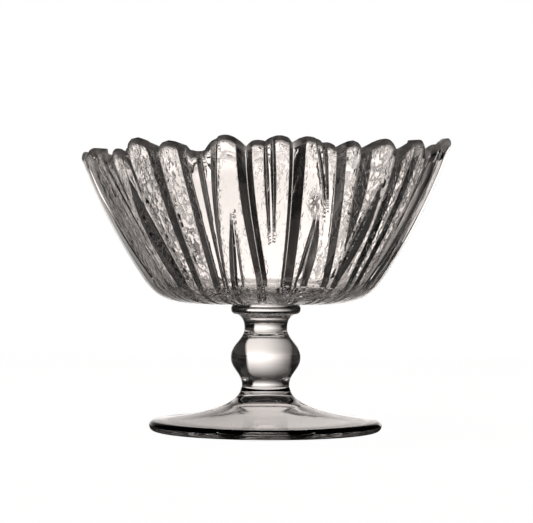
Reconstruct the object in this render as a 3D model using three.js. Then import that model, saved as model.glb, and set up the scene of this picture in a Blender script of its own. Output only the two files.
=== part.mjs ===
// A footed candy bowl in clear pressed glass: a fluted bowl, a joining wafer, a knopped stem and a round foot.
// The four pieces are pressed apart and fused while hot, flat face on flat face.
// Millimetres, +Z up. The origin is on the table, under the middle of the rim's outline. The front faces -Y.
import * as THREE from 'three';

// Foot: a thin bell that sweeps up into a neck. It is hollow under its middle and stands on a flat ring.
const FOOT_RADIUS = 44.5;
const FOOT_EDGE_THICKNESS = 3.9;
const FOOT_SWEEP_HEIGHT = 11.1; // from the top of the edge to the fused face
const FOOT_RING_WIDTH = 3.2;
const FOOT_CROWN_THICKNESS = 3.2; // between the hollow's top and the fused face

// Stem: a waisted baluster with one round knop.
const STEM_X = 0.3; // its axis, which the foot and the wafer share, a little to the right of the bowl's
const STEM_FOOT_RADIUS = 9.7; // the fused face on the foot
const LOWER_NECK_RADIUS = 9.1;
const KNOP_RADIUS = 13.45;
const UPPER_NECK_RADIUS = 8.25;
const STEM_TOP_RADIUS = 11; // the fused face under the wafer
const LOWER_NECK_LENGTH = 2.4; // fused face to the narrowest place
const KNOP_LOWER_LENGTH = 10.6; // narrowest place to the widest
const KNOP_UPPER_LENGTH = 11.2;
const STEM_FLARE_LENGTH = 5.3;

// Wafer: the round-edged disc that joins the stem to the bowl.
const WAFER_FACE_RADIUS = 11.7;
const WAFER_BULGE = 1.75; // how far the round edge stands out past the flat faces
const WAFER_THICKNESS = 4;

// Bowl: radii are those of the crests of the flutes, and heights start at the underside.
const BOWL_X = -0.9;
const BOWL_FLAT_RADIUS = 24;
const BOWL_CORNER_RADIUS = 45.6; // at the foot of the wall
const BOWL_CORNER_HEIGHT = 9.2;
const BOWL_WALL_HEIGHT = 48; // foot of the wall to the shoulder of the rim
const RIM_RADIUS = 70.3; // at the usual height of the shoulder
const WALL_BULGE = 1.31; // 1 is a straight wall
const RIM_ROUNDING = 2.4; // height of the rounded lip above its shoulder
const RIM_SWAY = 1.9; // the rim stands higher to the right than to the left by twice this
const WALL_THICKNESS = 5.6; // level thickness at a crest
const FLOOR_THICKNESS = 6.4;
const FLOOR_RADIUS = 28; // flat part of the floor inside

// Flutes: rounded lobes between sharp grooves in the outside of the bowl.
const GROOVE_DEPTH = 3.4;
const GROOVE_DEPTH_AT_BASE = 2.6;
const DEPTH_TO_WIDTH = 0.75; // a groove narrower than this allows is cut less deep
const GROOVE_START_RADIUS = 15; // on the underside, where the grooves run out to nothing
const SMALLEST_REACH = 0.01; // radians on each side of a groove that has closed
const FLANKS_OF_GAP = 0.9; // the most of the way between two grooves that their flanks may take
const HALF_TURN = 180;
const BACK_SPREAD = 6.5; // degrees by which the back's lobes stand further out than those of the front

// The grooves of the front half, left to right. First the degrees of the groove's middle at the rim, half way up
// and at the foot of the wall, then its width in degrees at the same three heights, where less than nothing means
// it has closed. Last the share of the width at which the bottom lies.
const GROOVES = [
  [-86, -85.5, -84, 3.5, 3.5, 3.5, 0.5],
  [-75, -72.5, -65.8, 4, 4, 4, 0.5],
  [-64.7, -59.2, -51.9, 3.2, 3.3, 3.5, 0.5],
  [-57.1, -54.5, -48.5, 6.3, -1.2, -9, 0.5],
  [-46.7, -47.2, -42.3, 3, 6, 8.4, 0.5],
  [-35.4, -33.7, -31.8, 3.7, 3, 3.7, 0.5],
  [-23.2, -21.6, -21.3, 7.6, 7, 5.8, 0.58],
  [-15.2, -17.8, -17.9, 3.8, 2.9, 1.8, 0.45],
  [-10.7, -11.1, -11.5, -21, -0.7, 5.2, 0.7],
  [-5.8, -4.8, -1.3, 4.7, 5.3, 5, 0.53],
  [1.3, 2.8, 4.8, 3.4, 2.6, -5, 0.37],
  [9.9, 10.6, 10.9, 5, 4.9, 5.5, 0.37],
  [13.2, 18.7, 17.6, -20, -0.6, 5, 0.35],
  [16.3, 22.3, 26.2, 3.8, -0.5, -5, 0.45],
  [23.8, 26.6, 30, 3, 3.7, 4.6, 0.5],
  [32.7, 33.8, 33.9, 3.9, 2.8, -5, 0.5],
  [42.4, 41, 37.1, -5.5, 4.1, 4.8, 0.5],
  [48.3, 46.9, 45.8, 6.3, 4.6, 4.4, 0.4],
  [55, 54.9, 53.9, 3, 3.3, 3.6, 0.4],
  [60.3, 58.9, 57.1, 3.4, 0.6, -2.5, 0.5],
  [69.9, 67.1, 60.4, 2.5, 2.6, 2.6, 0.5],
  [84, 84.5, 84, 4, 4, 4, 0.5],
];

// The rim of the front half, left to right: degrees and height of each dip and crest, the heights against the
// shoulder of the wall.
const RIM_LINE = [
  [-89.3, 0.4], [-84, -1.8], [-79.5, -0.9], [-75, -1.6], [-66.9, 0.1], [-56.8, -5],
  [-51.6, -1], [-48, -3.4], [-42, 2], [-34.3, -2.8], [-30, 0.1], [-22.6, -4.8],
  [-20.8, -3.2], [-17.9, -3.8], [-11.3, 1.4], [-5.5, -2.8], [-1.8, -0.8], [0.4, -1.1],
  [4.9, 0.9], [9, -1.6], [13, 0.4], [17.7, -1.8], [18.9, -1.7], [22.5, -4.2],
  [27.2, -1.4], [31.1, -4.6], [39.6, -0.4], [46.5, -5.2], [56, -0.3], [60.4, -6.2],
  [67.5, -1.7], [72.5, -2.4], [89.3, 1.7],
];

// Facets
const ROUND_SEGMENTS = 60;
const CURVE_STEPS = 5;
const EDGE_STEPS = 4;
const WALL_STEPS = 7;
const FLANK_COLUMNS = 1;
const LOBE_COLUMNS = 2;
const GAP_COLUMNS = 2 * FLANK_COLUMNS + LOBE_COLUMNS; // from one groove to the next

const STEM_HEIGHT = LOWER_NECK_LENGTH + KNOP_LOWER_LENGTH + KNOP_UPPER_LENGTH + STEM_FLARE_LENGTH;
const STEM_BASE_Z = FOOT_EDGE_THICKNESS + FOOT_SWEEP_HEIGHT;
const WAFER_BASE_Z = STEM_BASE_Z + STEM_HEIGHT;
const BOWL_BASE_Z = WAFER_BASE_Z + WAFER_THICKNESS;

// Clear glass with a faint grey cast.
function clearGlass() {
  return new THREE.MeshStandardMaterial({
    color: 0xd3cdca,
    roughness: 0.03,
    metalness: 0,
    transparent: true,
    opacity: 0.35,
  });
}

function piece(name, geometry, x, baseZ) {
  const mesh = new THREE.Mesh(geometry, clearGlass());
  mesh.name = name;
  mesh.position.set(x, 0, baseZ);
  return mesh;
}

// A profile of Vector2 (radius, height) turned about the upright axis.
function turned(profile) {
  return new THREE.LatheGeometry(profile, ROUND_SEGMENTS).rotateX(Math.PI / 2);
}

const at = (radius, height) => new THREE.Vector2(radius, height);

// A curve between two points, leaving and arriving along the two control points.
const sweep = (from, leave, arrive, to) => new THREE.CubicBezierCurve(from, leave, arrive, to);

// The points of a curve after its first one, to follow on from the profile before it.
const onward = (curve, steps) => curve.getPoints(steps).slice(1);

// Foot: dome, hollow, resting ring, round edge, then the sweep up to the neck.
function footGeometry() {
  const edgeRound = FOOT_EDGE_THICKNESS / 2;
  const edgeCentre = FOOT_RADIUS - edgeRound;
  const ringInner = edgeCentre - FOOT_RING_WIDTH;
  const topZ = FOOT_EDGE_THICKNESS + FOOT_SWEEP_HEIGHT;
  const crown = topZ - FOOT_CROWN_THICKNESS;
  const dome = sweep(
    at(0, crown),
    at(STEM_FOOT_RADIUS * 0.42, crown),
    at(STEM_FOOT_RADIUS * 0.82, crown * 0.81),
    at(STEM_FOOT_RADIUS * 1.17, crown * 0.54),
  );
  const hollow = sweep(
    at(STEM_FOOT_RADIUS * 1.17, crown * 0.54),
    at(STEM_FOOT_RADIUS * 1.52, crown * 0.27),
    at(ringInner * 0.6, crown * 0.125),
    at(ringInner, 0),
  );
  const edge = new THREE.EllipseCurve(
    edgeCentre, edgeRound, edgeRound, edgeRound, -Math.PI / 2, Math.PI / 2,
  );
  const span = edgeCentre - STEM_FOOT_RADIUS;
  const flare = sweep(
    at(edgeCentre, FOOT_EDGE_THICKNESS),
    at(STEM_FOOT_RADIUS + span * 0.44, FOOT_EDGE_THICKNESS + FOOT_SWEEP_HEIGHT * 0.18),
    at(STEM_FOOT_RADIUS + span * 0.07, FOOT_EDGE_THICKNESS + FOOT_SWEEP_HEIGHT * 0.5),
    at(STEM_FOOT_RADIUS, topZ),
  );
  return turned([
    ...dome.getPoints(EDGE_STEPS),
    ...onward(hollow, CURVE_STEPS),
    ...edge.getPoints(EDGE_STEPS),
    ...onward(flare, CURVE_STEPS * 2),
    at(0, topZ),
  ]);
}

// Stem: neck, knop, neck and flare, each running into the next upright.
function stemGeometry() {
  const waistZ = LOWER_NECK_LENGTH;
  const knopZ = waistZ + KNOP_LOWER_LENGTH;
  const collarZ = knopZ + KNOP_UPPER_LENGTH;
  const neck = sweep(
    at(STEM_FOOT_RADIUS, 0),
    at(STEM_FOOT_RADIUS, LOWER_NECK_LENGTH * 0.3),
    at(LOWER_NECK_RADIUS, waistZ - LOWER_NECK_LENGTH * 0.4),
    at(LOWER_NECK_RADIUS, waistZ),
  );
  const knopBelow = sweep(
    at(LOWER_NECK_RADIUS, waistZ),
    at(LOWER_NECK_RADIUS, waistZ + KNOP_LOWER_LENGTH * 0.42),
    at(KNOP_RADIUS, knopZ - KNOP_LOWER_LENGTH * 0.42),
    at(KNOP_RADIUS, knopZ),
  );
  const knopAbove = sweep(
    at(KNOP_RADIUS, knopZ),
    at(KNOP_RADIUS, knopZ + KNOP_UPPER_LENGTH * 0.46),
    at(UPPER_NECK_RADIUS, collarZ - KNOP_UPPER_LENGTH * 0.41),
    at(UPPER_NECK_RADIUS, collarZ),
  );
  const flare = sweep(
    at(UPPER_NECK_RADIUS, collarZ),
    at(UPPER_NECK_RADIUS, collarZ + STEM_FLARE_LENGTH * 0.58),
    at(UPPER_NECK_RADIUS + (STEM_TOP_RADIUS - UPPER_NECK_RADIUS) * 0.4, collarZ + STEM_FLARE_LENGTH * 0.8),
    at(STEM_TOP_RADIUS, STEM_HEIGHT),
  );
  return turned([
    at(0, 0),
    ...neck.getPoints(2),
    ...onward(knopBelow, CURVE_STEPS),
    ...onward(knopAbove, CURVE_STEPS),
    ...onward(flare, EDGE_STEPS),
    at(0, STEM_HEIGHT),
  ]);
}

// Wafer: two flat faces and a half-round edge.
function waferGeometry() {
  const edge = new THREE.EllipseCurve(
    WAFER_FACE_RADIUS, WAFER_THICKNESS / 2, WAFER_BULGE, WAFER_THICKNESS / 2, -Math.PI / 2, Math.PI / 2,
  );
  return turned([at(0, 0), ...edge.getPoints(EDGE_STEPS + 1), at(0, WAFER_THICKNESS)]);
}

// Where the mirror image of a place on the front half stands on the back, a little further from its middle.
function toBack(degrees) {
  return HALF_TURN - degrees - BACK_SPREAD * Math.sin(THREE.MathUtils.degToRad(2 * degrees));
}

// A groove of the whole turn: the front's, then the back's, which mirror them. Its number may run past the turn.
function groove(number) {
  const count = GROOVES.length;
  const turns = Math.floor(number / (2 * count));
  const place = number - turns * 2 * count;
  const behind = place >= count;
  const row = GROOVES[behind ? 2 * count - 1 - place : place];
  const around = turns * 2 * HALF_TURN;
  return {
    degrees: row.slice(0, 3).map((degrees) => (behind ? toBack(degrees) : degrees) + around),
    widths: row.slice(3, 6),
    lean: behind ? 1 - row[6] : row[6],
  };
}

// A value at a share of the wall's height: a parabola through its three given ones.
function parabola([rim, middle, base], share) {
  const bend = 2 * (rim + base - 2 * middle);
  return base + (rim - base - bend) * share + bend * share * share;
}

// A groove at a share of the wall's height: the angle of its bottom in radians, its depth, and how far it reaches
// to each side.
function cut(number, share, radius) {
  const { degrees, widths, lean } = groove(number);
  const width = THREE.MathUtils.degToRad(Math.max(parabola(widths, share), 0));
  const depth = THREE.MathUtils.lerp(GROOVE_DEPTH_AT_BASE, GROOVE_DEPTH, share);
  return {
    bottom: THREE.MathUtils.degToRad(parabola(degrees, share)) + (lean - 0.5) * width,
    depth: Math.min(depth, DEPTH_TO_WIDTH * width * radius),
    toLeft: Math.max(lean * width, SMALLEST_REACH),
    toRight: Math.max((1 - lean) * width, SMALLEST_REACH),
  };
}

// The share of a groove's depth left at a distance from its bottom: half a wave that ends at its reach.
const flank = (distance, reach) => 0.5 + 0.5 * Math.cos(Math.PI * Math.min(distance / reach, 1));

// How much of a stretch of columns lies before a column.
const passed = (column, start, length) => THREE.MathUtils.clamp((column - start) / length, 0, 1);

// The angle of a column of the bowl, and how far the outside lies under the crests there. The columns run from
// each groove's bottom up its flank, over the lobe and down the next groove's flank.
function flute(column, share, radius) {
  const number = Math.floor(column / GAP_COLUMNS);
  const step = column - number * GAP_COLUMNS;
  const left = cut(number, share, radius);
  const right = cut(number + 1, share, radius);
  const gap = right.bottom - left.bottom;
  const squeeze = Math.min((FLANKS_OF_GAP * gap) / (left.toRight + right.toLeft), 1);
  const rise = left.toRight * squeeze;
  const fall = right.toLeft * squeeze;
  const across = rise * passed(step, 0, FLANK_COLUMNS)
    + (gap - rise - fall) * passed(step, FLANK_COLUMNS, LOBE_COLUMNS)
    + fall * passed(step, FLANK_COLUMNS + LOBE_COLUMNS, FLANK_COLUMNS);
  const leftDrop = left.depth * flank(across, left.toRight);
  const rightDrop = right.depth * flank(gap - across, right.toLeft);
  return { angle: left.bottom + across, drop: Math.max(leftDrop, rightDrop) };
}

// The rim line of the whole turn, with its first place again at the end.
const RIM_ROUND = [
  ...RIM_LINE,
  ...RIM_LINE.map(([degrees, height]) => [toBack(degrees), height]).reverse(),
  [RIM_LINE[0][0] + 2 * HALF_TURN, RIM_LINE[0][1]],
];

// Height of the rim's shoulder over a column: between two places a parabola that is level at the higher one, with
// the whole rim tilted up to the right.
function shoulderHeight(column) {
  const { angle } = flute(column, 1, RIM_RADIUS);
  const first = RIM_ROUND[0][0];
  const degrees = first + THREE.MathUtils.euclideanModulo(THREE.MathUtils.radToDeg(angle) - first, 2 * HALF_TURN);
  const next = RIM_ROUND.findIndex(([place]) => place > degrees);
  const left = RIM_ROUND[next - 1];
  const right = RIM_ROUND[next];
  const [crest, dip] = left[1] > right[1] ? [left, right] : [right, left];
  const away = (degrees - crest[0]) / (dip[0] - crest[0]);
  const line = THREE.MathUtils.lerp(crest[1], dip[1], away * away);
  return BOWL_CORNER_HEIGHT + BOWL_WALL_HEIGHT + line + RIM_SWAY * Math.sin(angle);
}

// The radius of the wall's outside over the crests at a height: a parabola that bulges out past a straight line,
// and runs on above the rim.
function wallRadius(height) {
  const share = (height - BOWL_CORNER_HEIGHT) / BOWL_WALL_HEIGHT;
  const out = share * (WALL_BULGE + (1 - WALL_BULGE) * share);
  return THREE.MathUtils.lerp(BOWL_CORNER_RADIUS, RIM_RADIUS, out);
}

// A column of the wall at a share of its height.
const wallFlute = (column, share) => flute(column, share, wallRadius(BOWL_CORNER_HEIGHT + BOWL_WALL_HEIGHT * share));

// The outside of the bowl from the middle of its underside to the shoulder of the rim, as functions that
// give a column's angle, radius and height. The rim cuts the wall at different heights.
function outsideStations() {
  const width = BOWL_CORNER_RADIUS - BOWL_FLAT_RADIUS;
  const corner = sweep(
    at(BOWL_FLAT_RADIUS, 0),
    at(BOWL_FLAT_RADIUS + width * 0.65, 0),
    at(BOWL_FLAT_RADIUS + width * 0.81, BOWL_CORNER_HEIGHT * 0.41),
    at(BOWL_CORNER_RADIUS, BOWL_CORNER_HEIGHT),
  );
  const seat = [at(0, 0), at(WAFER_FACE_RADIUS, 0)];
  const underside = [...seat, ...corner.getPoints(CURVE_STEPS)].map(({ x, y }) => (column) => {
    const { angle, drop } = flute(column, 0, BOWL_CORNER_RADIUS);
    const grown = THREE.MathUtils.smoothstep(x, GROOVE_START_RADIUS, BOWL_CORNER_RADIUS);
    const lift = 1 - y / BOWL_CORNER_HEIGHT; // under the flat the grooves are cut upwards
    return { angle, radius: x - drop * grown * (1 - lift), height: y + drop * grown * lift };
  });
  const side = Array.from({ length: WALL_STEPS }, (_, step) => (column) => {
    const share = (step + 1) / WALL_STEPS;
    const { angle, drop } = wallFlute(column, share);
    const height = THREE.MathUtils.lerp(BOWL_CORNER_HEIGHT, shoulderHeight(column), share);
    return { angle, radius: wallRadius(height) - drop, height };
  });
  return [...underside, ...side];
}

// The rounded lip, from the outer shoulder over the top to the inner one.
function lipStations() {
  return Array.from({ length: EDGE_STEPS }, (_, step) => (column) => {
    const turn = (Math.PI * (step + 1)) / EDGE_STEPS;
    const { angle, drop } = wallFlute(column, 1);
    const shoulder = shoulderHeight(column);
    const halfThickness = (WALL_THICKNESS - drop) / 2;
    return {
      angle,
      radius: wallRadius(shoulder) - drop - halfThickness * (1 - Math.cos(turn)),
      height: shoulder + RIM_ROUNDING * Math.sin(turn),
    };
  });
}

// The smooth inside, from under the lip down to the middle of the floor.
function insideStations() {
  const cornerHeight = BOWL_CORNER_HEIGHT + FLOOR_THICKNESS / 2;
  const cornerRadius = wallRadius(cornerHeight) - WALL_THICKNESS;
  const sideSteps = CURVE_STEPS - 1;
  const side = Array.from({ length: sideSteps }, (_, step) => (column) => {
    const share = 1 - (step + 1) / sideSteps;
    const height = THREE.MathUtils.lerp(cornerHeight, shoulderHeight(column), share);
    return { angle: wallFlute(column, share).angle, radius: wallRadius(height) - WALL_THICKNESS, height };
  });
  const width = cornerRadius - FLOOR_RADIUS;
  const corner = sweep(
    at(cornerRadius, cornerHeight),
    at(cornerRadius - width * 0.25, FLOOR_THICKNESS + (cornerHeight - FLOOR_THICKNESS) * 0.4),
    at(FLOOR_RADIUS + width * 0.45, FLOOR_THICKNESS),
    at(FLOOR_RADIUS, FLOOR_THICKNESS),
  );
  const floor = [...onward(corner, CURVE_STEPS - 2), at(0, FLOOR_THICKNESS)].map(({ x, y }) => (column) => ({
    angle: flute(column, 0, BOWL_CORNER_RADIUS).angle,
    radius: x,
    height: y,
  }));
  return [...side, ...floor];
}

// Bowl: a turned grid whose columns follow the grooves and crests, moved to the fluted shape.
function bowlGeometry() {
  const stations = [...outsideStations(), ...lipStations(), ...insideStations()];
  const columns = GROOVES.length * 2 * GAP_COLUMNS;
  const grid = new THREE.LatheGeometry(stations.map((_, row) => at(1, row)), columns);
  const position = grid.getAttribute('position');
  for (let step = 0; step <= columns; step++) {
    const column = step % columns;
    stations.forEach((station, row) => {
      const { angle, radius, height } = station(column);
      position.setXYZ(
        step * stations.length + row,
        radius * Math.sin(angle),
        -radius * Math.cos(angle),
        height,
      );
    });
  }
  return grid;
}

const candyBowl = new THREE.Group();
candyBowl.add(
  piece('foot', footGeometry(), STEM_X, 0),
  piece('stem', stemGeometry(), STEM_X, STEM_BASE_Z),
  piece('joining_wafer', waferGeometry(), STEM_X, WAFER_BASE_Z),
  piece('bowl', bowlGeometry(), BOWL_X, BOWL_BASE_Z),
);

export default candyBowl;
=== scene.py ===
import math

import bpy
import numpy as np
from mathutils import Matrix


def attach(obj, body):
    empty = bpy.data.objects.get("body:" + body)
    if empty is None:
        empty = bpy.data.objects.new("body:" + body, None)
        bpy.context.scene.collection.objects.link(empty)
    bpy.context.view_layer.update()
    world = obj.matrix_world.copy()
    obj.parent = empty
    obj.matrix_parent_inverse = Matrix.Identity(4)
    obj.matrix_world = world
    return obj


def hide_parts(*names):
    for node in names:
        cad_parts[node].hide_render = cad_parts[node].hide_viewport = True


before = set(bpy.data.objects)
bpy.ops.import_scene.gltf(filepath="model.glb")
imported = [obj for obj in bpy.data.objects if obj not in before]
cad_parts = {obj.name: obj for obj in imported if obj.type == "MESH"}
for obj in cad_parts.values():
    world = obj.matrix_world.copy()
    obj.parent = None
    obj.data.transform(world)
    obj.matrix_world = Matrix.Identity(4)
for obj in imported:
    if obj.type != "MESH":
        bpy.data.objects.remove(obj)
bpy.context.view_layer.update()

MM = 0.001

# Foot
FOOT_RADIUS = 44.5
FOOT_EDGE_THICKNESS = 3.9
FOOT_SWEEP_HEIGHT = 11.1
FOOT_RING_WIDTH = 3.2
FOOT_CROWN_THICKNESS = 3.2

# Stem: its axis, which the foot and the wafer share, stands a little to the right of the bowl's
STEM_X = 0.3
STEM_FOOT_RADIUS = 9.7
LOWER_NECK_RADIUS = 9.1
KNOP_RADIUS = 13.45
UPPER_NECK_RADIUS = 8.25
STEM_TOP_RADIUS = 11.0
LOWER_NECK_LENGTH = 2.4
KNOP_LOWER_LENGTH = 10.6
KNOP_UPPER_LENGTH = 11.2
STEM_FLARE_LENGTH = 5.3

# Wafer
WAFER_FACE_RADIUS = 11.7
WAFER_BULGE = 1.75
WAFER_THICKNESS = 4.0

# Bowl
BOWL_X = -0.9
BOWL_FLAT_RADIUS = 24.0
BOWL_CORNER_RADIUS = 45.6
BOWL_CORNER_HEIGHT = 9.2
BOWL_WALL_HEIGHT = 48.0
RIM_RADIUS = 70.3
WALL_BULGE = 1.31
RIM_ROUNDING = 2.4
LIP_WIDTH = 1.3
LIP_FALL = 3.0
RIM_SWAY = 1.9
WALL_THICKNESS = 5.6
FLOOR_THICKNESS = 5.4
FLOOR_RADIUS = 28.0
INNER_CORNER_DROP = 0.2

# Flutes
GROOVE_DEPTH = 4.5
GROOVE_DEPTH_AT_BASE = 4.1
DEPTH_TO_WIDTH = 0.75
GROOVE_START_RADIUS = 15.0
SMALLEST_REACH = 0.01
FLANKS_OF_GAP = 0.9
BASE_CHILL = 6.0
HALF_TURN = 180.0
BACK_SPREAD = 6.5

# The grooves of the front half, left to right. First the degrees of the groove's middle at the rim, half
# way up and at the foot of the wall, then its width in degrees at the same three heights, where less than
# nothing means it has closed. Last the share of the width at which the bottom lies and how strongly the
# mould has chilled the lobe to the right.
GROOVES = [
    [-86.0, -85.5, -84.0, 1.6, 1.6, 1.6, 0.5, 0.0],
    [-75.0, -71.0, -64.0, 3.4, 3.0, 2.4, 0.5, 0.6],
    [-63.4, -57.4, -52.5, 4.4, 3.6, 2.0, 0.4, 1.2],
    [-57.8, -52.4, -48.6, 2.4, 1.0, -2.0, 0.4, 1.0],
    [-53.4, -50.6, -47.4, 2.0, -0.5, -3.0, 0.4, 0.6],
    [-47.2, -46.3, -42.0, -4.0, 6.4, 7.4, 0.42, 0.0],
    [-44.9, -42.4, -37.6, 1.8, -0.6, -3.0, 0.5, 1.6],
    [-34.4, -33.0, -31.6, 4.0, 3.6, 3.4, 0.4, 0.7],
    [-24.4, -23.0, -22.0, 2.9, 3.1, 3.6, 0.5, 0.0],
    [-19.2, -18.6, -18.3, 2.0, 1.7, 0.8, 0.5, 0.0],
    [-14.2, -16.1, -16.9, 2.3, 1.7, 1.0, 0.5, 0.05],
    [-9.5, -10.8, -13.1, -12.0, -0.2, 3.3, 0.4, 0.0],
    [-9.2, -9.8, -9.2, -3.0, 0.1, 0.7, 0.5, 0.05],
    [-5.6, -4.4, -0.4, 4.7, 5.1, 5.0, 0.53, 0.05],
    [0.6, 1.8, 3.8, 1.1, 1.2, -2.5, 0.5, 0.0],
    [2.7, 3.7, 4.7, 1.4, 1.2, -2.5, 0.5, 0.05],
    [9.9, 10.6, 10.9, 5.0, 4.9, 5.5, 0.37, 0.05],
    [13.5, 18.0, 15.3, -20.0, -0.3, 0.9, 0.5, 0.0],
    [15.0, 19.3, 19.3, -20.0, -0.5, 3.6, 0.35, 0.15],
    [15.7, 21.3, 25.0, 1.0, 0.2, -2.0, 0.5, 0.0],
    [17.9, 22.4, 26.2, 1.8, -0.2, -4.0, 0.5, 0.0],
    [23.2, 26.2, 30.0, 3.3, 3.4, 3.6, 0.4, 0.25],
    [31.7, 33.5, 34.0, 3.8, 3.3, -5.0, 0.2, 1.0],
    [40.4, 40.0, 35.8, -8.0, 4.1, 3.4, 0.2, 0.5],
    [45.5, 45.3, 44.8, 4.2, 3.6, 3.4, 0.3, 2.5],
    [53.0, 51.6, 50.3, 3.6, 3.3, 3.2, 0.4, 2.0],
    [60.3, 58.9, 57.1, 3.4, 0.6, -2.5, 0.5, 0.0],
    [69.9, 67.1, 60.4, 1.6, 1.2, 1.0, 0.5, 0.0],
    [84.0, 84.5, 84.0, 1.6, 1.6, 1.6, 0.5, 0.0],
]
# Spots where the mould was coldest: degrees from the front, height, half width in degrees, half height
# and chill.
CHILL_SPOTS = [
    [-38.8, 90.0, 2.8, 11.0, 4.0],
    [-28.8, 97.0, 0.7, 3.0, 6.0],
    [-27.0, 88.0, 0.7, 4.0, 6.0],
    [-27.2, 72.0, 0.6, 6.0, 5.0],
    [17.3, 85.5, 1.4, 2.8, 5.0],
    [37.0, 101.0, 3.0, 5.0, 0.6],
    [-1.5, 102.0, 1.5, 5.0, 0.4],
    [5.5, 102.0, 2.0, 6.0, 0.4],
    [13.5, 103.0, 1.5, 4.0, 0.4],
    [20.5, 101.0, 1.2, 5.0, 0.6],
    [27.3, 101.0, 1.8, 6.0, 0.8],
    [24.0, 62.0, 2.5, 6.0, 0.4],
]

# The rim of the front half, left to right: degrees and height of each dip and crest, the heights against
# the shoulder of the wall.
RIM_LINE = [
    [-89.3, 0.2],
    [-84.0, -2.2],
    [-79.5, -1.4],
    [-75.0, -2.3],
    [-66.9, 0.0],
    [-55.4, -5.2],
    [-51.0, -1.2],
    [-47.2, -3.8],
    [-41.2, 2.0],
    [-33.6, -3.0],
    [-29.6, 0.2],
    [-22.4, -3.6],
    [-20.4, -4.1],
    [-17.8, -3.9],
    [-11.3, 1.2],
    [-5.5, -2.8],
    [-1.8, -0.9],
    [0.4, -1.4],
    [4.7, 0.5],
    [9.0, -2.0],
    [12.7, 0.0],
    [17.7, -2.1],
    [18.9, -2.1],
    [22.5, -4.2],
    [27.2, -1.4],
    [31.1, -4.6],
    [39.0, -0.6],
    [44.8, -5.4],
    [54.8, -0.4],
    [59.3, -6.4],
    [67.5, -1.3],
    [72.5, -1.9],
    [89.3, 2.2],
]

# Fineness of the meshes
ROUND_COLUMNS = 256
FLANK_COLUMNS = 4
LOBE_COLUMNS = 6
CURVE_ROWS = 24
CORNER_ROWS = 14
WALL_ROWS = 52
LIP_ROWS = 7
INSIDE_ROWS = 13
FLOOR_ROWS = 10

# Heights of the fused faces
STEM_BASE_Z = FOOT_EDGE_THICKNESS + FOOT_SWEEP_HEIGHT
STEM_HEIGHT = LOWER_NECK_LENGTH + KNOP_LOWER_LENGTH + KNOP_UPPER_LENGTH + STEM_FLARE_LENGTH
WAFER_BASE_Z = STEM_BASE_Z + STEM_HEIGHT
BOWL_BASE_Z = WAFER_BASE_Z + WAFER_THICKNESS

# The panel behind the object, as the glass sees it: its brightness at the left and right, the degrees in
# which it grows, those in which its edges fade, and the degrees of height that halve it
PANEL_LEFT = 0.25
PANEL_RIGHT = 1.65
PANEL_GROWS = (-34, 8)
PANEL_LEFT_EDGE = (-37, -30)
PANEL_RIGHT_EDGE = (20, 24)
PANEL_HALVING = 9.0

# The dim room, and the low band of light at its sides and front: the degrees where it begins and ends
ROOM = 0.006
SIDES = 0.4
SIDES_FROM = (70, 85)
SIDES_TOP = (3, 6)

# The board in the glass: dim at the sides, lighter in front, a painted shadow round the foot and a painted
# glow under it
BOARD_SIDES = 0.004
BOARD_FRONT = 0.12
FRONT_FROM = (110, 140)
BOARD_HALF = 600.0
BOARD_NEAR = 0.55
DARK_TO = 46.0
LIGHT_FROM = 68.0
UNDER_LEFT = 0.55
UNDER_RIGHT = 0.95
UNDER_FADE = (0.7, 0.9)
BOARD_WHITE = 0.97
GAP = 0.2

# The soft box above the object, in millimetres and watts
SOFT_BOX_PLACE = (-150, -100, 900)
SOFT_BOX_TARGET = (0, 0, 50)
SOFT_BOX_SIZE = 700
SOFT_BOX_POWER = 0.2

# The glass: the length and depth of its ripples and of the grains where the mould was cold
GLASS_IOR = 1.5
RIM_ROUGHNESS = 0.5
RIPPLE_LENGTH = 4.0
PLUNGER_RIPPLE_LENGTH = 6.0
RIPPLE_DEPTH = 0.03
GRAIN_LENGTH = 1.8
GRAIN_STRETCH = 0.4
GRAIN_RANGE = (0.44, 0.62)
GRAIN_DEPTH = 0.2

# Numbers of the finishes in a piece's list, after its own, which is 0
SEAM = 1
PLUNGER_CHILLED = 2
REHEATED_RIM = 3

# The photograph's frame and the camera that fits it
PHOTO_WIDTH = 533
FOCAL_PIXELS = 1955.0
SENSOR_WIDTH = 36.0
CAMERA_X = 0.4
CAMERA_DISTANCE = 750.0
CAMERA_HEIGHT = 64.7
CAMERA_ROLL = 0.3


def to_linear(hex_colour):
    """An sRGB hex colour as linear red, green, blue and full alpha, by the sRGB curve."""
    srgb = np.array([int(hex_colour[i:i + 2], 16) for i in (1, 3, 5)]) / 255.0
    linear = np.where(srgb <= 0.04045, srgb / 12.92, ((srgb + 0.055) / 1.055) ** 2.4)
    return (*linear.tolist(), 1.0)


def add_node(tree, kind, inputs=None, **settings):
    """One node in a tree: settings are its properties, inputs its sockets, each a value or an output."""
    node = tree.nodes.new(kind)
    for name, value in settings.items():
        setattr(node, name, value)
    for key, value in (inputs or {}).items():
        if isinstance(value, bpy.types.NodeSocket):
            tree.links.new(value, node.inputs[key])
        else:
            node.inputs[key].default_value = value
    return node


def bezier(points, rows):
    """Points along a Bezier curve of two or three legs: control points by Bernstein weights."""
    points = np.array(points, float)
    degree = len(points) - 1
    t = np.linspace(0.0, 1.0, rows)[:, None]
    weights = [math.comb(degree, k) * t ** k * (1 - t) ** (degree - k) for k in range(degree + 1)]
    return sum(weight * point for weight, point in zip(weights, points))


def ellipse(centre, radii, start, end, rows):
    """Points along an elliptical arc: centre plus the radii times cosine and sine of the angle."""
    angle = np.radians(np.linspace(start, end, rows))[:, None]
    return np.array(centre) + np.array(radii) * np.hstack([np.cos(angle), np.sin(angle)])


def spaced(start, end, rows):
    """A straight run of points from start to end, both included."""
    return np.linspace(np.array(start, float), np.array(end, float), rows)


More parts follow.
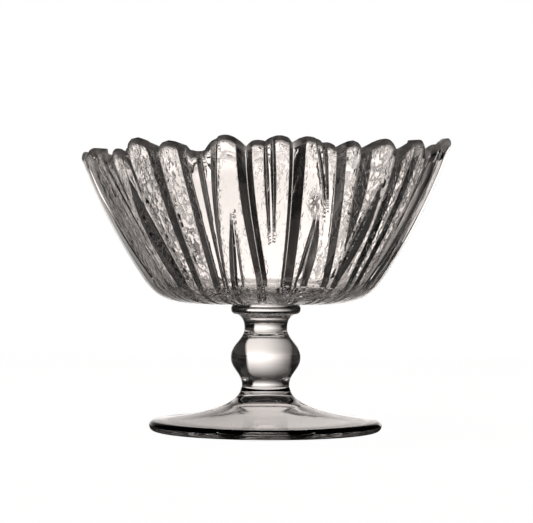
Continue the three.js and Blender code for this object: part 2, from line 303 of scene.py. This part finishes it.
def profile(*runs):
    """Runs of points joined end to end, without the first point of each run after the first one."""
    return np.vstack([runs[0]] + [run[1:] for run in runs[1:]])


def smoothstep(x, low, high):
    """Zero below low, one above high, and the smooth cubic 3t2 - 2t3 between."""
    t = np.clip((x - low) / (high - low), 0.0, 1.0)
    return t * t * (3 - 2 * t)


def grid_piece(name, x, y, z, materials, finishes):
    """A closed piece from a grid of columns by rows whose first and last rows are points on the axis.
    Quads join each column to the next one round the turn, and the two poles are fans. finishes gives the
    number of the material for each band of faces between two rows."""
    columns, rows = x.shape
    ring = np.stack([x, y, z], axis=-1)[:, 1:-1].reshape(-1, 3)
    poles = np.array([[x[0, 0], y[0, 0], z[0, 0]], [x[0, -1], y[0, -1], z[0, -1]]])
    vertices = np.vstack([ring, poles]) * MM
    inner = rows - 2
    near = np.arange(columns)[:, None] * inner
    far = np.roll(near, -1, axis=0)
    step = np.arange(inner - 1)[None, :]
    quads = np.stack([near + step, far + step, far + step + 1, near + step + 1], axis=-1).reshape(-1, 4)
    first_pole = len(ring)
    near = near[:, 0]
    far = far[:, 0]
    first_fan = np.stack([np.full(columns, first_pole), far, near], axis=-1)
    last_fan = np.stack([np.full(columns, first_pole + 1), near + inner - 1, far + inner - 1], axis=-1)
    mesh = bpy.data.meshes.new(name)
    mesh.from_pydata(vertices, [], quads.tolist() + first_fan.tolist() + last_fan.tolist())
    band_of_face = np.concatenate([
        np.tile(np.arange(1, inner), columns),
        np.zeros(columns, int),
        np.full(columns, inner),
    ])
    mesh.polygons.foreach_set("material_index", finishes[band_of_face].astype(np.int32))
    mesh.polygons.foreach_set("use_smooth", np.ones(len(band_of_face), bool))
    for material in materials:
        mesh.materials.append(material)
    mesh.validate()
    mesh.update()
    piece = bpy.data.objects.new(name, mesh)
    bpy.context.scene.collection.objects.link(piece)
    return piece


def turned_piece(name, outline, base, materials, seams):
    """A profile of radius and height turned once about the upright axis: x = r sin a, y = -r cos a."""
    angle = np.linspace(0.0, 2 * np.pi, ROUND_COLUMNS, endpoint=False)[:, None]
    radius, height = outline.T
    z = np.broadcast_to(height + base, (ROUND_COLUMNS, len(outline)))
    x = STEM_X + radius * np.sin(angle)
    return grid_piece(name, x, -radius * np.cos(angle), z, materials, fused_bands(outline, seams))


def foot_outline():
    """Hollow, resting ring, half-round edge and the sweep up to the neck, then the fused face. The hollow
    runs parallel to the sweep, so that the glass is evenly thick."""
    edge_half = FOOT_EDGE_THICKNESS / 2
    edge_centre = FOOT_RADIUS - edge_half
    ring_inner = edge_centre - FOOT_RING_WIDTH
    top = FOOT_EDGE_THICKNESS + FOOT_SWEEP_HEIGHT
    span = edge_centre - STEM_FOOT_RADIUS
    crown = top - FOOT_CROWN_THICKNESS
    dome = bezier([
        (0, crown),
        (STEM_FOOT_RADIUS * 0.5, crown),
        (STEM_FOOT_RADIUS * 0.88, crown * 0.85),
        (STEM_FOOT_RADIUS * 1.3, crown * 0.63),
    ], CURVE_ROWS)
    hollow = bezier([
        (STEM_FOOT_RADIUS * 1.3, crown * 0.63),
        (STEM_FOOT_RADIUS * 1.67, crown * 0.43),
        (ring_inner * 0.68, crown * 0.21),
        (ring_inner, 0),
    ], CURVE_ROWS)
    ring = spaced((ring_inner, 0), (edge_centre, 0), 4)
    edge = ellipse((edge_centre, edge_half), (edge_half, edge_half), -90, 90, CURVE_ROWS)
    sweep = bezier([
        (edge_centre, FOOT_EDGE_THICKNESS),
        (STEM_FOOT_RADIUS + span * 0.44, FOOT_EDGE_THICKNESS + FOOT_SWEEP_HEIGHT * 0.18),
        (STEM_FOOT_RADIUS + span * 0.07, FOOT_EDGE_THICKNESS + FOOT_SWEEP_HEIGHT * 0.5),
        (STEM_FOOT_RADIUS, top),
    ], CURVE_ROWS * 2)
    face = spaced((STEM_FOOT_RADIUS, top), (0, top), 3)
    return profile(dome, hollow, ring, edge, sweep, face)


def stem_outline():
    """Fused face, lower neck, knop, upper neck and flare, each upright into the next, then the face."""
    waist = LOWER_NECK_LENGTH
    knop = waist + KNOP_LOWER_LENGTH
    collar = knop + KNOP_UPPER_LENGTH
    flare_width = STEM_TOP_RADIUS - UPPER_NECK_RADIUS
    lower_face = spaced((0, 0), (STEM_FOOT_RADIUS, 0), 3)
    neck = bezier([
        (STEM_FOOT_RADIUS, 0),
        (STEM_FOOT_RADIUS, LOWER_NECK_LENGTH * 0.3),
        (LOWER_NECK_RADIUS, waist - LOWER_NECK_LENGTH * 0.4),
        (LOWER_NECK_RADIUS, waist),
    ], 10)
    knop_below = bezier([
        (LOWER_NECK_RADIUS, waist),
        (LOWER_NECK_RADIUS, waist + KNOP_LOWER_LENGTH * 0.42),
        (KNOP_RADIUS, knop - KNOP_LOWER_LENGTH * 0.42),
        (KNOP_RADIUS, knop),
    ], CURVE_ROWS)
    knop_above = bezier([
        (KNOP_RADIUS, knop),
        (KNOP_RADIUS, knop + KNOP_UPPER_LENGTH * 0.46),
        (UPPER_NECK_RADIUS, collar - KNOP_UPPER_LENGTH * 0.41),
        (UPPER_NECK_RADIUS, collar),
    ], CURVE_ROWS)
    flare = bezier([
        (UPPER_NECK_RADIUS, collar),
        (UPPER_NECK_RADIUS, collar + STEM_FLARE_LENGTH * 0.58),
        (UPPER_NECK_RADIUS + flare_width * 0.4, collar + STEM_FLARE_LENGTH * 0.8),
        (STEM_TOP_RADIUS, STEM_HEIGHT),
    ], CURVE_ROWS)
    upper_face = spaced((STEM_TOP_RADIUS, STEM_HEIGHT), (0, STEM_HEIGHT), 3)
    return profile(lower_face, neck, knop_below, knop_above, flare, upper_face)


def wafer_outline():
    """Lower face, parted where the stem's edge meets it, half-round edge and upper face."""
    half = WAFER_THICKNESS / 2
    lower_face = spaced((0, 0), (STEM_TOP_RADIUS, 0), 3)
    ledge = spaced((STEM_TOP_RADIUS, 0), (WAFER_FACE_RADIUS, 0), 2)
    edge = ellipse((WAFER_FACE_RADIUS, half), (WAFER_BULGE, half), -90, 90, CURVE_ROWS)
    upper_face = spaced((WAFER_FACE_RADIUS, WAFER_THICKNESS), (0, WAFER_THICKNESS), 3)
    return profile(lower_face, ledge, edge, upper_face)


def fused_bands(outline, seams):
    """For each band of faces, SEAM if it lies flat at the height of a seam and inside its radius, where
    two pieces are fused, and 0 elsewhere. seams holds pairs of height and radius."""
    middle = (outline[:-1] + outline[1:]) / 2
    fused = np.zeros(len(middle), int)
    for height, radius in seams:
        flat = np.isclose(outline[:-1, 1], height) & np.isclose(outline[1:, 1], height)
        fused[flat & (middle[:, 0] < radius)] = SEAM
    return fused


def to_back(degrees):
    """The place on the back that mirrors a place on the front, a little further from its middle."""
    return HALF_TURN - degrees - BACK_SPREAD * np.sin(np.radians(2 * degrees))


def whole_turn():
    """The grooves of the front, of the back, which mirrors it, and the first again, a full turn on."""
    front = np.array(GROOVES)
    back = front.copy()
    back[:, 0:3] = to_back(front[:, 0:3])
    back[:, 6] = 1 - front[:, 6]
    back[:, 7] = 0
    again = front[:1].copy()
    again[:, 0:3] += 2 * HALF_TURN
    return np.vstack([front, back[::-1], again])


def parabola(rim, middle, base, share):
    """The parabola in the share that takes the three values at one, a half and nothing."""
    bend = 2 * (rim + base - 2 * middle)
    return base + (rim - base - bend) * share + bend * share ** 2


def crowded(place):
    """Places from nothing to one, crowded towards both ends."""
    return smoothstep(smoothstep(place, 0, 1), 0, 1)


def flank(distance, reach):
    """The share of a groove's depth left at a distance from its bottom: a slope that ends at its reach."""
    return 1 - np.clip(distance / reach, 0, 1)


def flutes(share, radius):
    """The angle of each column of the bowl, in radians, how far its outside lies under the crests and how
    chilled it is, on a grid of columns by shares of the wall's height. The columns run from each groove's
    bottom up its flank, over the lobe and down the next groove's flank, and where two grooves meet the
    deeper one counts."""
    share = np.atleast_1d(share).astype(float)
    table = [part[:, None] for part in whole_turn().T]
    middle = np.radians(parabola(*table[0:3], share))
    width = np.radians(np.clip(parabola(*table[3:6], share), 0, None))
    lean, chill = table[6:]
    bottom = middle + (lean - 0.5) * width
    depth = GROOVE_DEPTH_AT_BASE + (GROOVE_DEPTH - GROOVE_DEPTH_AT_BASE) * share
    depth = np.minimum(depth, DEPTH_TO_WIDTH * width * radius)[:, None, :]
    gap = (bottom[1:] - bottom[:-1])[:, None, :]
    left_reach = np.maximum((1 - lean) * width, SMALLEST_REACH)[:-1, None, :]
    right_reach = np.maximum(lean * width, SMALLEST_REACH)[1:, None, :]
    squeeze = np.minimum(FLANKS_OF_GAP * gap / (left_reach + right_reach), 1)
    column = np.arange(2 * FLANK_COLUMNS + LOBE_COLUMNS)[None, :, None]
    up = crowded(column / FLANK_COLUMNS)
    over = crowded((column - FLANK_COLUMNS) / LOBE_COLUMNS)
    down = crowded((column - FLANK_COLUMNS - LOBE_COLUMNS) / FLANK_COLUMNS)
    lobe = gap - (left_reach + right_reach) * squeeze
    across = left_reach * squeeze * up + lobe * over + right_reach * squeeze * down
    left_flank = flank(across, left_reach)
    right_flank = flank(gap - across, right_reach)
    drop = np.maximum(depth[:-1] * left_flank, depth[1:] * right_flank)
    spread = bottom[:-1, None, :] + across
    grain = chill[:-1, None, :] * (1 - left_flank) * (1 - right_flank)
    return [part.reshape(-1, len(share)) for part in (spread, drop, grain)]


def shoulder_line(rim_angle):
    """The height of the rim's shoulder over each column: between two places a parabola that is level at
    the higher one, with the whole rim tilted up to the right."""
    places, heights = np.array(RIM_LINE).T
    places = np.concatenate([places, to_back(places)[::-1], places[:1] + 2 * HALF_TURN])
    heights = np.concatenate([heights, heights[::-1], heights[:1]])
    degrees = (np.degrees(rim_angle) - places[0]) % (2 * HALF_TURN) + places[0]
    right = np.clip(np.searchsorted(places, degrees), 1, len(places) - 1)
    left = right - 1
    crest = np.where(heights[left] > heights[right], left, right)
    dip = left + right - crest
    away = (degrees - places[crest]) / (places[dip] - places[crest])
    height = heights[crest] + (heights[dip] - heights[crest]) * away ** 2
    return BOWL_CORNER_HEIGHT + BOWL_WALL_HEIGHT + height + RIM_SWAY * np.sin(rim_angle)


def wall_radius(height):
    """The radius of the wall's outside over the crests at a height: a parabola that bulges out past a
    straight line, and runs on above the rim."""
    share = (height - BOWL_CORNER_HEIGHT) / BOWL_WALL_HEIGHT
    bulge = WALL_BULGE + (1 - WALL_BULGE) * share
    return BOWL_CORNER_RADIUS + (RIM_RADIUS - BOWL_CORNER_RADIUS) * share * bulge


def chill_spots(angle, height):
    """How much the spots chill each point of the wall: the sum of a bell curve round each spot."""
    degree, level, wide, tall, chill = [column[:, None, None] for column in np.array(CHILL_SPOTS).T]
    across = (np.degrees(angle) - degree) / wide
    up = (height - level) / tall
    return (chill * np.exp(-across ** 2 - up ** 2)).sum(axis=0)


def bowl_piece(name, base, materials):
    """The fluted bowl as one grid. Its rows run from the middle of the underside over the corner, up the
    fluted wall, over the round lip and down the smooth inside to the middle of the floor."""
    rim_angle, rim_drop, _ = flutes(1.0, RIM_RADIUS)
    shoulder = shoulder_line(rim_angle)
    foot_angle, foot_drop, foot_grain = flutes(0.0, BOWL_CORNER_RADIUS)

    # Underside and corner: the grooves deepen outwards, and press up on the flat and in on the corner
    corner_width = BOWL_CORNER_RADIUS - BOWL_FLAT_RADIUS
    seat = spaced((0, 0), (WAFER_FACE_RADIUS, 0), 3)
    flat = spaced((WAFER_FACE_RADIUS, 0), (BOWL_FLAT_RADIUS, 0), 6)
    corner = bezier([
        (BOWL_FLAT_RADIUS, 0),
        (BOWL_FLAT_RADIUS + corner_width * 0.65, 0),
        (BOWL_FLAT_RADIUS + corner_width * 0.81, BOWL_CORNER_HEIGHT * 0.41),
        (BOWL_CORNER_RADIUS, BOWL_CORNER_HEIGHT),
    ], CORNER_ROWS)
    under = profile(seat, flat, corner)
    under_r, under_h = under.T
    cut = smoothstep(under_r, GROOVE_START_RADIUS, BOWL_CORNER_RADIUS)
    lift = 1 - under_h / BOWL_CORNER_HEIGHT
    under_radius = under_r - foot_drop * cut * (1 - lift)
    under_height = under_h + foot_drop * cut * lift
    under_angle = np.broadcast_to(foot_angle, under_radius.shape)

    # Fluted wall
    share = np.linspace(0, 1, WALL_ROWS)[1:]
    plain_radius = wall_radius(BOWL_CORNER_HEIGHT + BOWL_WALL_HEIGHT * share)
    side_angle, side_drop, side_grain = flutes(share, plain_radius)
    side_height = BOWL_CORNER_HEIGHT + (shoulder - BOWL_CORNER_HEIGHT) * share
    side_radius = wall_radius(side_height) - side_drop
    side_grain = side_grain + chill_spots(side_angle, side_height + base)

    # Lip: a quarter round outside, then a parabola that runs into the inside wall without a crease
    along = np.linspace(0, 1, LIP_ROWS)[1:]
    turn = along * np.pi / 2
    crest_radius = wall_radius(shoulder) - rim_drop - LIP_WIDTH
    inside_top = shoulder - LIP_FALL
    inside_end = wall_radius(inside_top) - WALL_THICKNESS
    lip_top = shoulder + RIM_ROUNDING
    bend_radius = np.minimum(wall_radius(lip_top) - WALL_THICKNESS, crest_radius)
    rise_radius = crest_radius + LIP_WIDTH * np.cos(turn)
    rise_height = shoulder + RIM_ROUNDING * np.sin(turn)
    fall_middle = (crest_radius + 2 * bend_radius + inside_end) / 4
    fall_radius = parabola(inside_end, fall_middle, crest_radius, along)
    fall_height = lip_top - (RIM_ROUNDING + LIP_FALL) * along ** 2
    lip_radius = np.hstack([rise_radius, fall_radius])
    lip_height = np.hstack([rise_height, fall_height])
    lip_angle = np.broadcast_to(rim_angle, lip_radius.shape)

    # Smooth inside and floor
    inner_height = BOWL_CORNER_HEIGHT - FLOOR_THICKNESS * INNER_CORNER_DROP
    inner_corner = wall_radius(inner_height) - WALL_THICKNESS
    share = np.linspace(1, 0, INSIDE_ROWS)[1:]
    plain_radius = wall_radius(BOWL_CORNER_HEIGHT + BOWL_WALL_HEIGHT * share)
    inside_angle, _, _ = flutes(share, plain_radius)
    inside_height = inner_height + (inside_top - inner_height) * share
    inside_radius = wall_radius(inside_height) - WALL_THICKNESS

    inner_width = inner_corner - FLOOR_RADIUS
    floor_corner = bezier([
        (inner_corner, inner_height),
        (inner_corner - inner_width * 0.25, FLOOR_THICKNESS + (inner_height - FLOOR_THICKNESS) * 0.4),
        (FLOOR_RADIUS + inner_width * 0.45, FLOOR_THICKNESS),
        (FLOOR_RADIUS, FLOOR_THICKNESS),
    ], FLOOR_ROWS)
    floor = profile(floor_corner, spaced((FLOOR_RADIUS, FLOOR_THICKNESS), (0, FLOOR_THICKNESS), 4))[1:]
    floor_radius = np.broadcast_to(floor[:, 0], (len(foot_angle), len(floor)))
    floor_height = np.broadcast_to(floor[:, 1], floor_radius.shape)
    floor_angle = np.broadcast_to(foot_angle, floor_radius.shape)

    # One grid, with the chill of each point and the finish of each band
    radius = np.hstack([under_radius, side_radius, lip_radius, inside_radius, floor_radius])
    height = np.hstack([under_height, side_height, lip_height, inside_height, floor_height])
    angle = np.hstack([under_angle, side_angle, lip_angle, inside_angle, floor_angle])
    grain = np.zeros(radius.shape)
    under_rows = under_radius.shape[1]
    side_rows = side_radius.shape[1]
    grain[:, :under_rows] = foot_grain * cut + BASE_CHILL * cut * (1 - cut)
    grain[:, under_rows:under_rows + side_rows] = side_grain
    finishes = np.zeros(radius.shape[1] - 1, int)
    lip_from = under_rows + side_rows - 1
    inside_from = lip_from + rise_radius.shape[1] + fall_radius.shape[1] // 2
    finishes[:under_rows - 1] = fused_bands(under, [(0.0, WAFER_FACE_RADIUS)])
    finishes[lip_from:inside_from] = REHEATED_RIM
    finishes[inside_from:] = PLUNGER_CHILLED
    x = BOWL_X + radius * np.sin(angle)
    piece = grid_piece(name, x, -radius * np.cos(angle), height + base, materials, finishes)
    values = np.concatenate([grain[:, 1:-1].ravel(), [0.0, 0.0]])
    piece.data.attributes.new("chill", "FLOAT", "POINT").data.foreach_set("value", values)
    return piece


def glass_material(name, colour, roughness, relief):
    """Clear glass: relief takes the tree and gives the socket of the relief's height and its depth."""
    material = bpy.data.materials.new(name)
    material.use_nodes = True
    tree = material.node_tree
    tree.nodes.clear()
    height, depth = relief(tree)
    normal = add_node(tree, "ShaderNodeBump", {"Strength": 1.0, "Distance": depth, "Height": height})
    glass = add_node(tree, "ShaderNodeBsdfPrincipled", {
        "Base Color": to_linear(colour),
        "Roughness": roughness,
        "IOR": GLASS_IOR,
        "Transmission Weight": 1.0,
        "Normal": normal.outputs["Normal"],
    })
    add_node(tree, "ShaderNodeOutputMaterial", {"Surface": glass.outputs["BSDF"]})
    return material


def faint_ripple(tree):
    """Fire-polished glass: faint ripples some millimetres long."""
    place = add_node(tree, "ShaderNodeTexCoord").outputs["Object"]
    ripple = add_node(tree, "ShaderNodeTexNoise", {
        "Vector": place,
        "Scale": 1 / (RIPPLE_LENGTH * MM),
        "Detail": 2.0,
    })
    return ripple.outputs["Fac"], RIPPLE_DEPTH * MM


def chill_grain(tree):
    """Pressed lobes: where the cold mould touched the glass its skin has wrinkled, in grains that run up
    the wall."""
    place = add_node(tree, "ShaderNodeTexCoord").outputs["Object"]
    stretched = add_node(tree, "ShaderNodeMapping", {"Vector": place, "Scale": (1.0, 1.0, GRAIN_STRETCH)})
    grain = add_node(tree, "ShaderNodeTexNoise", {
        "Vector": stretched.outputs["Vector"],
        "Scale": 1 / (GRAIN_LENGTH * MM),
        "Detail": 3.0,
        "Roughness": 0.6,
    })
    wrinkle = add_node(tree, "ShaderNodeMapRange", {
        "Value": grain.outputs["Fac"],
        "From Min": GRAIN_RANGE[0],
        "From Max": GRAIN_RANGE[1],
    }, interpolation_type="SMOOTHSTEP")
    chill = add_node(tree, "ShaderNodeAttribute", attribute_name="chill")
    height = add_node(tree, "ShaderNodeMath", {
        0: wrinkle.outputs[0],
        1: chill.outputs["Fac"],
    }, operation="MULTIPLY")
    return height.outputs[0], GRAIN_DEPTH * MM


def plunger_ripple(tree):
    """The inside of the bowl, chilled by the plunger: a long, faint ripple."""
    place = add_node(tree, "ShaderNodeTexCoord").outputs["Object"]
    ripple = add_node(tree, "ShaderNodeTexNoise", {
        "Vector": place,
        "Scale": 1 / (PLUNGER_RIPPLE_LENGTH * MM),
        "Detail": 2.0,
    })
    return ripple.outputs["Fac"], RIPPLE_DEPTH * MM


def fused_seam():
    """The inside of a hot-fused joint, where glass runs into glass and light passes straight on."""
    material = bpy.data.materials.new("fused_glass_seam")
    material.use_nodes = True
    tree = material.node_tree
    tree.nodes.clear()
    clear = add_node(tree, "ShaderNodeBsdfTransparent", {"Color": to_linear("#ffffff")})
    add_node(tree, "ShaderNodeOutputMaterial", {"Surface": clear.outputs["BSDF"]})
    return material


def light_behind(tree, azimuth):
    """How bright the studio behind the object is in each direction round it: a broad panel, brighter to
    the right, with dark on both sides."""
    glow = add_node(tree, "ShaderNodeMapRange", {
        "Value": azimuth,
        "From Min": math.radians(PANEL_GROWS[0]),
        "From Max": math.radians(PANEL_GROWS[1]),
        "To Min": PANEL_LEFT,
        "To Max": PANEL_RIGHT,
    }, interpolation_type="SMOOTHSTEP").outputs["Result"]
    left_edge = add_node(tree, "ShaderNodeMapRange", {
        "Value": azimuth,
        "From Min": math.radians(PANEL_LEFT_EDGE[0]),
        "From Max": math.radians(PANEL_LEFT_EDGE[1]),
    }).outputs["Result"]
    right_edge = add_node(tree, "ShaderNodeMapRange", {
        "Value": azimuth,
        "From Min": math.radians(PANEL_RIGHT_EDGE[0]),
        "From Max": math.radians(PANEL_RIGHT_EDGE[1]),
        "To Min": 1.0,
        "To Max": 0.0,
    }).outputs["Result"]
    panel = add_node(tree, "ShaderNodeMath", {0: glow, 1: left_edge}, operation="MULTIPLY").outputs[0]
    return add_node(tree, "ShaderNodeMath", {0: panel, 1: right_edge}, operation="MULTIPLY").outputs[0]


def studio_world():
    """A dim studio, white to the camera. In the glass, a broad panel stands behind the object and fades
    upwards, and a low band of light runs round the sides and the front."""
    world = bpy.data.worlds.new("studio")
    bpy.context.scene.world = world
    world.use_nodes = True
    tree = world.node_tree
    tree.nodes.clear()
    direction = add_node(tree, "ShaderNodeTexCoord").outputs["Generated"]
    part = add_node(tree, "ShaderNodeSeparateXYZ", {"Vector": direction}).outputs
    azimuth = add_node(tree, "ShaderNodeMath", {0: part["X"], 1: part["Y"]}, operation="ARCTAN2").outputs[0]
    slope = add_node(tree, "ShaderNodeMath", {0: part["Z"]}, operation="ARCSINE").outputs[0]
    halvings = add_node(tree, "ShaderNodeMapRange", {
        "Value": slope,
        "From Max": math.radians(90),
        "To Max": 90 / PANEL_HALVING,
    }).outputs["Result"]
    fade = add_node(tree, "ShaderNodeMath", {0: 0.5, 1: halvings}, operation="POWER").outputs[0]
    behind = light_behind(tree, azimuth)
    panel = add_node(tree, "ShaderNodeMath", {0: behind, 1: fade}, operation="MULTIPLY").outputs[0]
    turn = add_node(tree, "ShaderNodeMath", {0: azimuth}, operation="ABSOLUTE").outputs[0]
    sides = add_node(tree, "ShaderNodeMapRange", {
        "Value": turn,
        "From Min": math.radians(SIDES_FROM[0]),
        "From Max": math.radians(SIDES_FROM[1]),
        "To Max": SIDES,
    }, interpolation_type="SMOOTHSTEP").outputs["Result"]
    low = add_node(tree, "ShaderNodeMapRange", {
        "Value": slope,
        "From Min": math.radians(SIDES_TOP[0]),
        "From Max": math.radians(SIDES_TOP[1]),
        "To Min": 1.0,
        "To Max": 0.0,
    }, interpolation_type="SMOOTHSTEP").outputs["Result"]
    sides = add_node(tree, "ShaderNodeMath", {0: sides, 1: low}, operation="MULTIPLY").outputs[0]
    panel = add_node(tree, "ShaderNodeMath", {0: panel, 1: sides}, operation="MAXIMUM").outputs[0]
    room = add_node(tree, "ShaderNodeMath", {0: panel, 1: ROOM}, operation="MAXIMUM").outputs[0]
    camera_ray = add_node(tree, "ShaderNodeLightPath").outputs["Is Camera Ray"]
    seen = add_node(tree, "ShaderNodeMix", {0: camera_ray, 2: room, 3: 1.0}).outputs[0]
    tint = add_node(tree, "ShaderNodeMix", {
        0: camera_ray,
        6: to_linear("#fffaf7"),
        7: to_linear("#ffffff"),
    }, data_type="RGBA").outputs[2]
    light = add_node(tree, "ShaderNodeBackground", {"Color": tint, "Strength": seen})
    add_node(tree, "ShaderNodeOutputWorld", {"Surface": light.outputs["Background"]})


def stage_piece(name, corners, material):
    """A flat four-cornered piece of the set."""
    mesh = bpy.data.meshes.new(name)
    mesh.from_pydata(np.array(corners, float) * MM, [], [(0, 1, 2, 3)])
    mesh.materials.append(material)
    piece = bpy.data.objects.new(name, mesh)
    bpy.context.scene.collection.objects.link(piece)
    return piece


def pale_floor():
    """A wide pale board under the object, white to the camera. In the glass its strip behind the object is
    light, the rest is dim, a ring round the foot is darkened as a painted shadow and the part under the foot
    has a painted glow, brighter to the right."""
    material = bpy.data.materials.new("pale_studio_board")
    material.use_nodes = True
    tree = material.node_tree
    tree.nodes.clear()
    place = add_node(tree, "ShaderNodeTexCoord").outputs["Object"]
    part = add_node(tree, "ShaderNodeSeparateXYZ", {"Vector": place}).outputs
    azimuth = add_node(tree, "ShaderNodeMath", {0: part["X"], 1: part["Y"]}, operation="ARCTAN2").outputs[0]
    away = add_node(tree, "ShaderNodeVectorMath", {0: place}, operation="LENGTH").outputs["Value"]
    nearness = add_node(tree, "ShaderNodeMapRange", {
        "Value": away,
        "From Max": BOARD_HALF * MM,
        "To Min": BOARD_NEAR,
        "To Max": 1.0,
    }, interpolation_type="SMOOTHSTEP").outputs["Result"]
    # Painted shadow: the board's glow in the glass is darkened in a ring round the foot
    clear_of_painted_shadow = add_node(tree, "ShaderNodeMapRange", {
        "Value": away,
        "From Min": DARK_TO * MM,
        "From Max": LIGHT_FROM * MM,
    }, interpolation_type="SMOOTHSTEP").outputs["Result"]
    nearness = add_node(tree, "ShaderNodeMath", {
        0: nearness,
        1: clear_of_painted_shadow,
    }, operation="MULTIPLY").outputs[0]
    turn = add_node(tree, "ShaderNodeMath", {0: azimuth}, operation="ABSOLUTE").outputs[0]
    front = add_node(tree, "ShaderNodeMapRange", {
        "Value": turn,
        "From Min": math.radians(FRONT_FROM[0]),
        "From Max": math.radians(FRONT_FROM[1]),
        "To Min": BOARD_SIDES,
        "To Max": BOARD_FRONT,
    }, interpolation_type="SMOOTHSTEP").outputs["Result"]
    round_light = add_node(tree, "ShaderNodeMath", {
        0: light_behind(tree, azimuth),
        1: front,
    }, operation="MAXIMUM").outputs[0]
    strip = add_node(tree, "ShaderNodeMath", {0: round_light, 1: nearness}, operation="MULTIPLY")
    path = add_node(tree, "ShaderNodeLightPath").outputs
    # Painted glow: the board under the foot glows in the glass, brighter to the right
    under_glow = add_node(tree, "ShaderNodeMapRange", {
        "Value": part["X"],
        "From Min": -FOOT_RADIUS * MM,
        "From Max": FOOT_RADIUS * MM,
        "To Min": UNDER_LEFT,
        "To Max": UNDER_RIGHT,
    }).outputs["Result"]
    under_foot = add_node(tree, "ShaderNodeMapRange", {
        "Value": away,
        "From Min": FOOT_RADIUS * UNDER_FADE[0] * MM,
        "From Max": FOOT_RADIUS * UNDER_FADE[1] * MM,
        "To Min": 1.0,
        "To Max": 0.0,
    }).outputs["Result"]
    under = add_node(tree, "ShaderNodeMath", {0: under_foot, 1: under_glow}, operation="MULTIPLY").outputs[0]
    light = add_node(tree, "ShaderNodeMath", {0: strip.outputs[0], 1: under}, operation="MAXIMUM").outputs[0]
    in_glass = add_node(tree, "ShaderNodeMath", {
        0: path["Is Glossy Ray"],
        1: path["Is Transmission Ray"],
    }, operation="MAXIMUM").outputs[0]
    light = add_node(tree, "ShaderNodeMath", {0: light, 1: in_glass}, operation="MULTIPLY").outputs[0]
    seen = add_node(tree, "ShaderNodeMix", {0: path["Is Camera Ray"], 2: light, 3: BOARD_WHITE}).outputs[0]
    board = add_node(tree, "ShaderNodeBsdfDiffuse", {"Color": to_linear("#e6e3e1")})
    tint = add_node(tree, "ShaderNodeMix", {
        0: path["Is Camera Ray"],
        6: to_linear("#fffaf7"),
        7: to_linear("#ffffff"),
    }, data_type="RGBA").outputs[2]
    glow = add_node(tree, "ShaderNodeEmission", {"Color": tint, "Strength": seen})
    both = add_node(tree, "ShaderNodeAddShader", {0: board.outputs["BSDF"], 1: glow.outputs["Emission"]})
    add_node(tree, "ShaderNodeOutputMaterial", {"Surface": both.outputs["Shader"]})
    half = BOARD_HALF
    corners = [(-half, -half, -GAP), (half, -half, -GAP), (half, half, -GAP), (-half, half, -GAP)]
    stage_piece("pale_floor", corners, material)


def lamp(name, place, target, size, power):
    """A square soft box that faces a target and does not show as a square in the glass."""
    data = bpy.data.lights.new(name, "AREA")
    data.size = size * MM
    data.energy = power
    lamp_object = bpy.data.objects.new(name, data)
    bpy.context.scene.collection.objects.link(lamp_object)
    aim = np.array(target, float) - np.array(place, float)
    lamp_object.location = np.array(place) * MM
    lamp_object.rotation_euler = (
        math.atan2(math.hypot(aim[0], aim[1]), -aim[2]),
        0.0,
        math.atan2(aim[1], aim[0]) - math.pi / 2,
    )
    lamp_object.visible_glossy = False
    lamp_object.visible_transmission = False


def photo_camera():
    """A level camera in front, a little above half the object's height, with the photograph's long lens."""
    data = bpy.data.cameras.new("photo_camera")
    data.sensor_fit = "HORIZONTAL"
    data.sensor_width = SENSOR_WIDTH
    data.lens = FOCAL_PIXELS * SENSOR_WIDTH / PHOTO_WIDTH
    data.clip_start = 0.01
    data.clip_end = 50.0
    camera = bpy.data.objects.new("photo_camera", data)
    camera.location = (CAMERA_X * MM, -CAMERA_DISTANCE * MM, CAMERA_HEIGHT * MM)
    camera.rotation_euler = (math.pi / 2, -math.radians(CAMERA_ROLL), 0.0)
    bpy.context.scene.collection.objects.link(camera)
    bpy.context.scene.camera = camera


def main():
    """Builds the pieces, the studio and the camera."""
    scene = bpy.context.scene
    scene.view_settings.view_transform = "Standard"
    scene.cycles.max_bounces = 28
    scene.cycles.transmission_bounces = 28
    # Few glossy bounces, because light led round inside the wall would turn the dark bands grey
    scene.cycles.glossy_bounces = 4
    scene.cycles.transparent_max_bounces = 32
    photo_camera()
    studio_world()
    pale_floor()
    lamp("top_soft_box", SOFT_BOX_PLACE, SOFT_BOX_TARGET, SOFT_BOX_SIZE, SOFT_BOX_POWER)

    seam = fused_seam()
    # Fire-polished glass: the flame leaves a wet gloss, clear in the middle with dark edges
    glass = [glass_material("fire_polished_glass", "#f7f4f2", 0.0, faint_ripple), seam]
    # The bowl: lobes wrinkled by the cold mould, an inside the plunger left clear, a rim frosted grey
    bowl_glass = [
        glass_material("mould_chilled_glass", "#f7f4f2", 0.0, chill_grain),
        seam,
        glass_material("plunger_chilled_glass", "#fbf9f8", 0.0, plunger_ripple),
        glass_material("reheated_rim_glass", "#f7f4f2", RIM_ROUGHNESS, faint_ripple),
    ]
    foot_seams = [(FOOT_EDGE_THICKNESS + FOOT_SWEEP_HEIGHT, STEM_FOOT_RADIUS)]
    stem_seams = [(0.0, STEM_FOOT_RADIUS), (STEM_HEIGHT, STEM_TOP_RADIUS)]
    wafer_seams = [(0.0, STEM_TOP_RADIUS), (WAFER_THICKNESS, WAFER_FACE_RADIUS)]
    pieces = {
        "foot": turned_piece("glass_foot", foot_outline(), 0.0, glass, foot_seams),
        "stem": turned_piece("glass_stem", stem_outline(), STEM_BASE_Z, glass, stem_seams),
        "joining_wafer": turned_piece("glass_wafer", wafer_outline(), WAFER_BASE_Z, glass, wafer_seams),
        "bowl": bowl_piece("glass_bowl", BOWL_BASE_Z, bowl_glass),
    }
    for node_name, piece in pieces.items():
        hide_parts(node_name)
        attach(piece, "root")


main()
